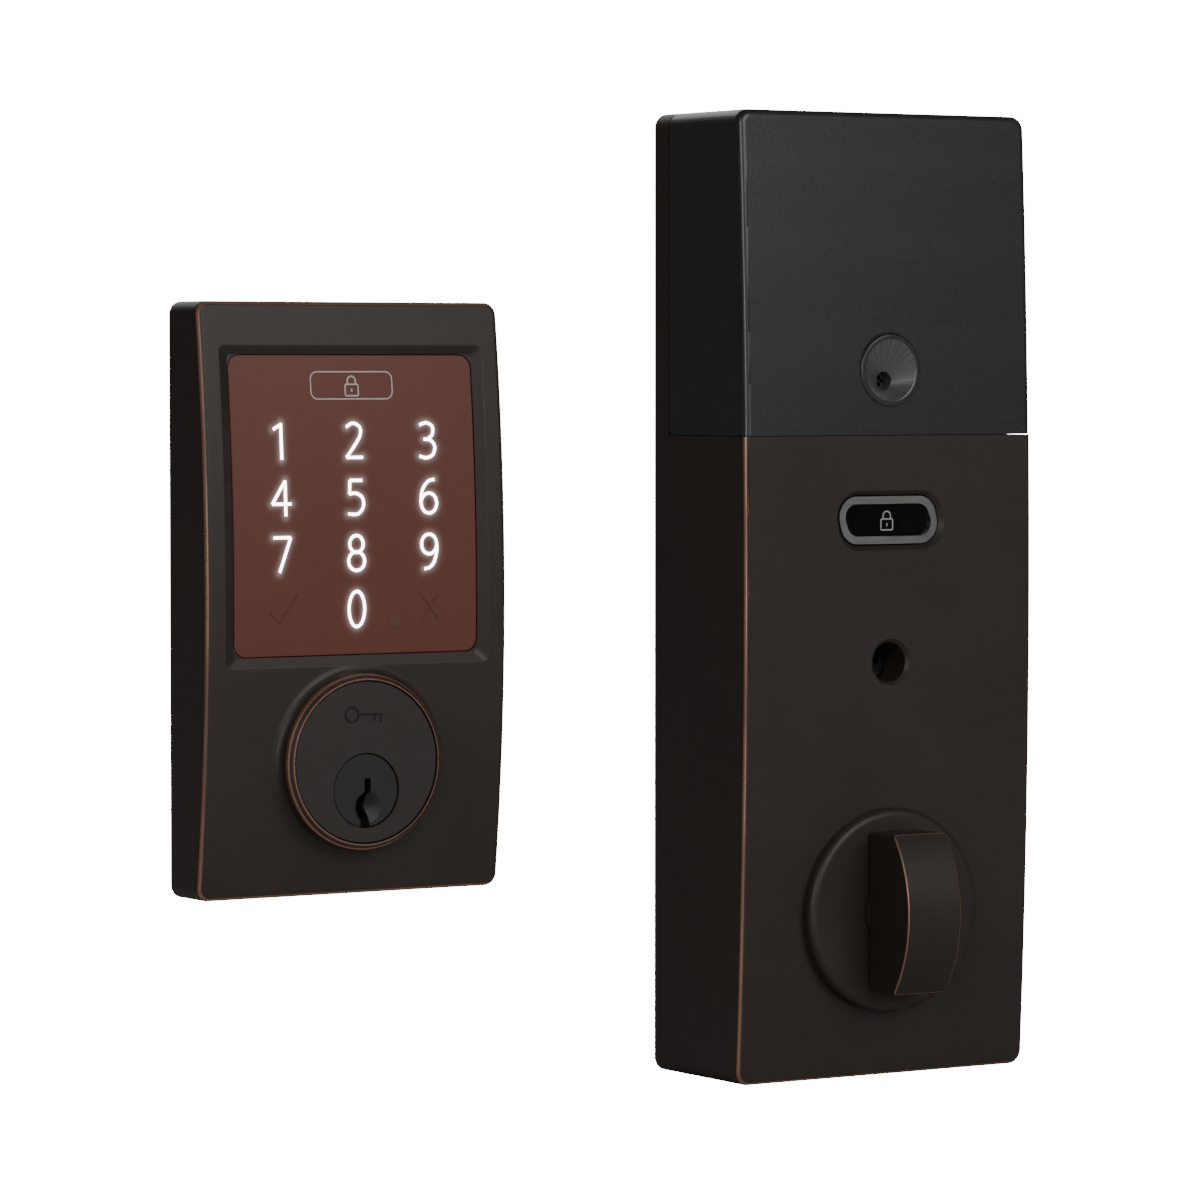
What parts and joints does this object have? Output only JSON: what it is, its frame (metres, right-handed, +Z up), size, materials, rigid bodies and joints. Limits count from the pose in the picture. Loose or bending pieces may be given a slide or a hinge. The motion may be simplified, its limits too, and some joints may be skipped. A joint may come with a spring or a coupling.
{
  "type": "keypad smart lock",
  "caption": "Door lock in two units: a touch keypad with a key cylinder, and a motor drive with thumbturn, pairing button and battery cover.",
  "frame": {"origin": "on the thumbturn's axis, in the plane of the door face that the inside unit rests on", "axes": "+Z up along the door, +Y from the fronts into the door, +X to the right seen from the fronts"},
  "size_m": [0.201, 0.1017, 0.215],
  "materials": {
    "bronze_case": "oil-rubbed bronze finish on a die casting, satin",
    "black_cover": "fine moulded texture",
    "screen": "tinted, scratch-resistant front",
    "clear_guide": "translucent moulding",
    "rubber": "black foam and rubber",
    "circuit_board": "solder mask",
    "chip": "moulded package",
    "led": "clear package",
    "zinc_steel": "zinc plated",
    "cylinder_bronze": "dark bronze plated brass",
    "plug_black": "black plated brass",
    "brass": "turned, bare",
    "spring_steel": "drawn wire",
    "white_nylon": "self-lubricating moulding",
    "black_nylon": "moulded",
    "ring_chrome": "satin plated",
    "button_gloss": "polished black",
    "cell_label": "printed sleeve over a steel can"
  },
  "bodies": {
    "root": {"keypad_escutcheon": "bronze_case", "touchscreen_lens": "screen", "lens_seal": "rubber", "light_guide": "clear_guide", "touch_board": "circuit_board", "touch_board_chips": "chip", "backlight_leds": "led", "keypad_beeper": "black_nylon", "cable_header": "white_nylon", "keypad_back_plate": "zinc_steel", "back_plate_screws": "zinc_steel", "board_standoffs": "brass", "weather_gasket": "rubber", "through_bolt_posts": "zinc_steel", "cylinder_screws": "zinc_steel", "cylinder_body": "cylinder_bronze", "chamber_cover": "brass", "driver_pins": "brass", "pin_springs": "spring_steel", "interior_housing": "bronze_case", "thumbturn_rose": "bronze_case", "motor_can": "zinc_steel", "gear_axles": "zinc_steel", "gearbox_front_plate": "zinc_steel", "gearbox_rear_plate": "zinc_steel", "gearbox_posts": "brass", "hub_bushing": "white_nylon", "support_plate": "zinc_steel", "middle_fixing_screw": "zinc_steel", "top_fixing_screws": "zinc_steel", "control_board": "circuit_board", "control_board_chips": "chip", "radio_module": "circuit_board", "tact_switch": "chip", "cable_socket": "white_nylon", "control_board_standoffs": "brass", "siren": "black_nylon", "position_switch": "chip", "button_spring": "spring_steel", "battery_tray": "black_nylon", "aa_cells": "cell_label", "battery_contacts": "zinc_steel", "contact_springs": "spring_steel"},
    "thumbturn_group": {"thumbturn": "bronze_case", "spindle_hub": "brass", "hub_screw": "zinc_steel", "drive_gear": "white_nylon"},
    "reduction_a": {"reduction_gear_a": "white_nylon"},
    "reduction_b": {"reduction_gear_b": "white_nylon"},
    "motor_shaft": {"motor_pinion": "brass"},
    "cover": {"battery_cover": "black_cover", "cover_screw": "zinc_steel"},
    "pairing_button": {"button_ring": "ring_chrome", "button_face": "button_gloss"},
    "plug": {"cylinder_plug": "plug_black", "key_pins": "brass", "plug_cap": "brass"},
    "tail": {"tailpiece": "zinc_steel"}
  },
  "joints": [
    {"name": "thumbturn_turn", "type": "hinge", "parent": "root", "child": "thumbturn_group", "pos_m": [0, 0, 0], "axis": [0, 1, 0], "range_deg": [-90, 90]},
    {"name": "gear_a_spin", "type": "hinge", "parent": "root", "child": "reduction_a", "pos_m": [-0.01388, 0, 0.01758], "axis": [0, 1, 0], "range_deg": [-322.4, 322.4]},
    {"name": "gear_b_spin", "type": "hinge", "parent": "root", "child": "reduction_b", "pos_m": [-0.00821, 0, 0.03275], "axis": [0, 1, 0], "range_deg": [-919.4, 919.4]},
    {"name": "motor_spin", "type": "hinge", "parent": "root", "child": "motor_shaft", "pos_m": [-0.02008, 0, 0.03666], "axis": [0, 1, 0], "range_deg": [-2362.5, 2362.5]},
    {"name": "cover_slide", "type": "slide", "parent": "root", "child": "cover", "axis": [0, -1, 0], "range_m": [0, 0.045]},
    {"name": "button_press", "type": "slide", "parent": "root", "child": "pairing_button", "axis": [0, 1, 0], "range_m": [0, 0.0008], "stiffness_N_per_m": 800, "deforming": ["button_spring"]},
    {"name": "plug_turn", "type": "hinge", "parent": "root", "child": "plug", "pos_m": [-0.125, 0, 0.0307], "axis": [0, 1, 0], "range_deg": [-90, 90]},
    {"name": "tailpiece_lost_motion", "type": "hinge", "parent": "plug", "child": "tail", "pos_m": [-0.125, 0, 0.0307], "axis": [0, 1, 0], "range_deg": [0, 90]}
  ],
  "couplings": [
    {"joint": "gear_a_spin", "follows": "thumbturn_turn", "ratio": -3.5714},
    {"joint": "gear_b_spin", "follows": "thumbturn_turn", "ratio": 10.204},
    {"joint": "motor_spin", "follows": "thumbturn_turn", "ratio": -26.239}
  ]
}
